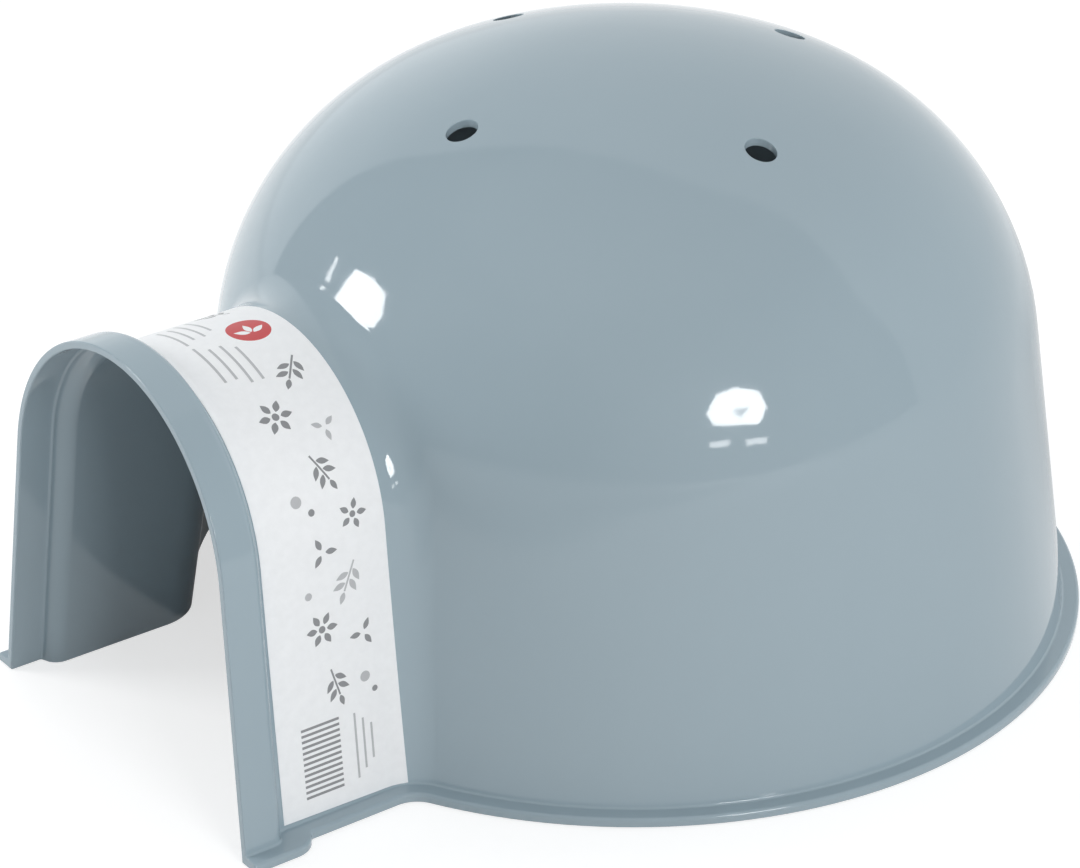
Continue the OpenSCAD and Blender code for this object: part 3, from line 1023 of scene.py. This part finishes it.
# Mirrored lamps: name, place that mirrors them, strength, distance, and the corners of their
# images as pixels of the photograph
LEFT_EYE, RIGHT_EYE = (0.012, -0.073, 0.115), (0.093, -0.02, 0.102)
PANELS = (
    ("octabox_left", LEFT_EYE, 16, 1.4,
     ((356.5, 268.5), (373.5, 278.5), (386.5, 294.5), (383.5, 317), (376, 329), (366, 326.5),
      (335.5, 299), (344, 284))),
    ("strip_left", LEFT_EYE, 10, 1.4, ((337.5, 255.5), (339.5, 258), (330, 282), (325.5, 279.5))),
    ("octabox_right", RIGHT_EYE, 18, 1.4,
     ((706, 413.5), (716, 394), (737, 387), (761, 391.5), (768, 407.5), (760, 425),
      (713.5, 427))),
    ("lamp_head", RIGHT_EYE, 5, 1.3, ((733.5, 410), (749.5, 408.5), (742, 418.5))),
    ("slat_1", RIGHT_EYE, 9, 1.4, ((709, 444.5), (730.5, 441.5), (730.5, 447.5), (709, 450))),
    ("slat_2", RIGHT_EYE, 9, 1.4, ((746, 440.5), (767.5, 438), (767, 444), (748, 447))),
)


def studio_world():
    """White for the camera, and the mirrored studio for the part."""
    world = bpy.data.worlds.new("studio")
    n = Nodes(world, "Background", "Generated")
    backdrop = 1.0
    for border in BACKDROP_BORDERS:
        backdrop = n.math("MULTIPLY", backdrop, n.toward(*border, 0, 1))
    glow = n.toward(*BACKDROP_LEFT_SIDE, BACKDROP_REAR, BACKDROP_LEFT)
    card = n.math("MULTIPLY", n.toward(*CARD_BORDER, CARD, 0), n.toward(*CARD_SIDE, 0, 1))
    room = n.math("MAXIMUM", n.toward(*RIGHT_SIDE, ROOM_LEFT, ROOM_RIGHT),
                  n.toward(*TOP_SIDE, 0, ROOM_TOP))
    room = n.math("MULTIPLY", room, n.toward(*FRONT_SIDE, 1, ROOM_FRONT))
    level = n.math("MAXIMUM", n.math("MAXIMUM", room, card), n.math("MULTIPLY", backdrop, glow))
    path = n.new("ShaderNodeLightPath").outputs
    seen = n.math("MAXIMUM", path["Is Camera Ray"], path["Is Transmission Ray"])
    n.set(n.shader.inputs["Color"], n.mix(seen, COOL_WHITE, WHITE))
    n.set(n.shader.inputs["Strength"], n.mix_value(seen, level, 1.0))
    bpy.context.scene.world = world


def lamp(name, azimuth, elevation, size, power):
    """A square soft lamp that faces the part."""
    data = bpy.data.lights.new(name, "AREA")
    data.shape, data.size, data.energy = "SQUARE", size, power
    obj = placed(name, data)
    way = direction(azimuth, elevation)
    obj.location = Vector(LAMP_AIM) + LAMP_WAY * way
    obj.rotation_euler = way.to_track_quat("Z", "Y").to_euler()
    obj.visible_glossy = False


def panel(name, seen_from, strength, distance, corners):
    """A lit panel that only shows as a mirror image in the gloss."""
    data = bpy.data.meshes.new(name)
    data.from_pydata([tuple(Vector(seen_from) + distance * mirrored_way(*corner))
                      for corner in corners], [], [tuple(range(len(corners)))])
    material = bpy.data.materials.new(name)
    material.use_nodes = True
    shader = material.node_tree.nodes["Principled BSDF"]
    shader.inputs["Base Color"].default_value = BLACK
    shader.inputs["Emission Color"].default_value = WHITE
    shader.inputs["Emission Strength"].default_value = strength
    data.materials.append(material)
    obj = placed(name, data)
    obj.visible_camera = obj.visible_diffuse = obj.visible_shadow = False


def floor_material():
    """White paper to the camera and in mirror images, with the part's shadow; a dimmer bounce."""
    material = bpy.data.materials.new("floor_paper")
    n = Nodes(material)
    path = n.new("ShaderNodeLightPath").outputs
    seen = n.math("MAXIMUM", path["Is Camera Ray"],
                  n.math("MAXIMUM", path["Is Glossy Ray"], path["Is Transmission Ray"]))
    beyond = n.toward(*TABLE_BORDER, 0, FLOOR_BEYOND)
    # Painted shade: mirror images see the floor under the dome dimmer, in place of the shade inside
    # the part
    under = n.away(*UNDER_BORDER, PAINTED_SHADE_UNDER_DOME, 0)
    patch = n.math("MULTIPLY", n.toward(*PATCH_LEFT, 0, FLOOR_PATCH), n.toward(*PATCH_REAR, 0, 1))
    patch = n.math("MULTIPLY", patch, n.away(*PATCH_BORDER, 1, 0))
    dimmer = n.math("MAXIMUM", n.math("ADD", beyond, under), patch)
    seen = n.math("SUBTRACT", seen, n.math("MULTIPLY", path["Is Glossy Ray"], dimmer))
    n.set(n.shader.inputs["Base Color"], n.mix(seen, FLOOR_BOUNCE, FLOOR_SEEN))
    n.shader.inputs["Roughness"].default_value = 0.9
    n.shader.inputs["Specular IOR Level"].default_value = 0.0
    n.shader.inputs["Emission Color"].default_value = WHITE
    n.set(n.shader.inputs["Emission Strength"], n.math("MULTIPLY", seen, FLOOR_GLOW))
    return material


# The scene

shell = shell_mesh().build("shell_moulding", [plastic_material()])
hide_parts("igloo_shell")
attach(shell, "root")

label = label_mesh().build("label_sheet", [paper_material(*paper) for paper in PAPERS])
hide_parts("tunnel_label")
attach(label, "root")

photo_camera()
studio_world()
for values in LAMPS:
    lamp(*values)
for values in PANELS:
    panel(*values)

bpy.ops.mesh.primitive_plane_add(size=FLOOR_SIZE, location=(0, 0, FLOOR_Z))
floor = bpy.context.object
floor.name = "floor"
floor.data.materials.append(floor_material())

bpy.context.scene.view_settings.view_transform = "Standard"
